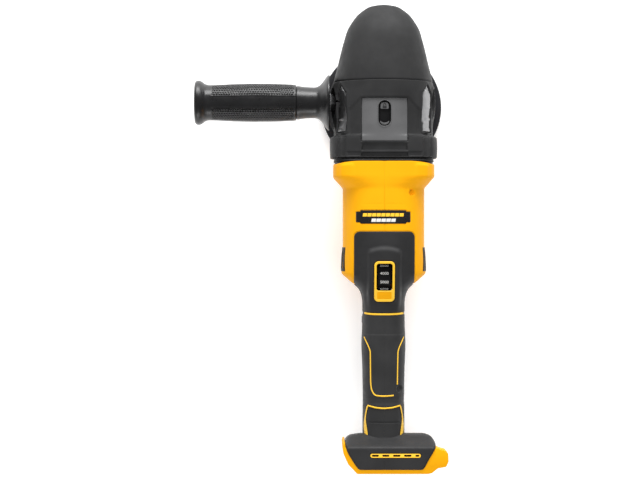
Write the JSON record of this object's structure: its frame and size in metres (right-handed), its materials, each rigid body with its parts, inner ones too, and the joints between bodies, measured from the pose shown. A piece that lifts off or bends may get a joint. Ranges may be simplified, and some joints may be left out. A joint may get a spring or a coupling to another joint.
{
  "type": "cordless rotary polisher",
  "caption": "Cordless right-angle rotary polisher with a round backing pad, bevel drive, rubber-covered head, side handle, speed dial, trigger grip and sliding battery foot.",
  "frame": {"origin": "centre of the backing pad's hook face, on the spindle axis", "axes": "+Z along the spindle, away from the work; +Y towards the nose; +X to the tool's right, away from the side handle as fitted"},
  "size_m": [0.258, 0.4759, 0.1264],
  "materials": {
    "yellow_nylon": "moulded, fine texture",
    "black_rubber": "soft-touch rubber",
    "black_nylon": "moulded",
    "label": "printed plate",
    "potting": "potted board",
    "die_cast_aluminium": "die cast",
    "bright_steel": "machined",
    "copper_winding": "enamelled copper wire",
    "pad_foam": "closed-cell foam with a hook face"
  },
  "bodies": {
    "tool": {"housing_left": "yellow_nylon", "housing_right": "yellow_nylon", "grip_overmold_left": "black_rubber", "grip_overmold_right": "black_rubber", "intake_screen_left": "black_nylon", "intake_screen_right": "black_nylon", "dial_cover": "black_nylon", "dial_bezel": "yellow_nylon", "name_badge": "label", "housing_screw_1": "bright_steel", "housing_screw_2": "bright_steel", "housing_screw_3": "bright_steel", "housing_screw_4": "bright_steel", "housing_screw_5": "bright_steel", "battery_base": "yellow_nylon", "terminal_block": "black_nylon", "gear_case_cover": "black_rubber", "nose_cover": "black_rubber", "gear_case": "die_cast_aluminium", "bearing_retainer": "bright_steel", "spindle_top_bush": "bright_steel", "spindle_bearing": "bright_steel", "front_motor_bearing": "bright_steel", "rear_motor_bearing": "bright_steel", "stator_core": "bright_steel", "winding_front": "copper_winding", "winding_rear": "copper_winding", "fan_baffle": "black_nylon", "gear_case_screw_1": "bright_steel", "gear_case_screw_2": "bright_steel", "gear_case_screw_3": "bright_steel", "gear_case_screw_4": "bright_steel", "retainer_screw_1": "bright_steel", "retainer_screw_2": "bright_steel", "retainer_screw_3": "bright_steel", "rear_bearing_holder": "black_nylon", "lock_button_spring": "bright_steel", "trigger_pin": "bright_steel", "switch_module": "black_nylon", "dial_sensor": "black_nylon", "side_handle_core": "black_nylon", "side_handle_sleeve": "black_rubber", "side_handle_stud": "bright_steel", "control_module": "potting"},
    "spindle": {"spindle": "bright_steel", "bevel_gear": "bright_steel", "plate_hub": "bright_steel", "backing_plate": "black_nylon", "pad_cushion": "pad_foam", "hook_face": "pad_foam"},
    "armature": {"motor_shaft": "bright_steel", "bevel_pinion": "bright_steel", "rotor_core": "bright_steel", "cooling_fan": "black_nylon"},
    "speed_dial": {"speed_dial": "black_nylon"},
    "trigger": {"trigger": "black_nylon"},
    "lock_on_button": {"lock_on_button": "black_nylon"},
    "spindle_lock_button": {"spindle_lock_button": "black_nylon"}
  },
  "joints": [
    {"name": "spindle_spin", "type": "hinge", "parent": "tool", "child": "spindle", "pos_m": [0, 0, 0.03], "axis": [0, 0, 1], "continuous": true},
    {"name": "motor_spin", "type": "hinge", "parent": "tool", "child": "armature", "pos_m": [0, -0.1, 0.08], "axis": [0, 1, 0], "continuous": true},
    {"name": "dial_turn", "type": "hinge", "parent": "tool", "child": "speed_dial", "pos_m": [0, -0.1775, 0.0985], "axis": [1, 0, 0], "range_deg": [-110, 110]},
    {"name": "trigger_squeeze", "type": "hinge", "parent": "tool", "child": "trigger", "pos_m": [0, -0.1945, 0.064], "axis": [-1, 0, 0], "range_deg": [0, 6], "stiffness_Nm_per_rad": 0.6, "springref_deg": -17.19},
    {"name": "lock_on_push", "type": "slide", "parent": "tool", "child": "lock_on_button", "axis": [1, 0, 0], "range_m": [0, 0.003], "stiffness_N_per_m": 500, "springref_m": -0.003},
    {"name": "spindle_lock_press", "type": "slide", "parent": "tool", "child": "spindle_lock_button", "axis": [0, 0, -1], "range_m": [0, 0.0025], "stiffness_N_per_m": 500, "springref_m": -0.004, "deforming": ["lock_button_spring"]}
  ],
  "couplings": [
    {"joint": "motor_spin", "follows": "spindle_spin", "ratio": -3.8889}
  ]
}
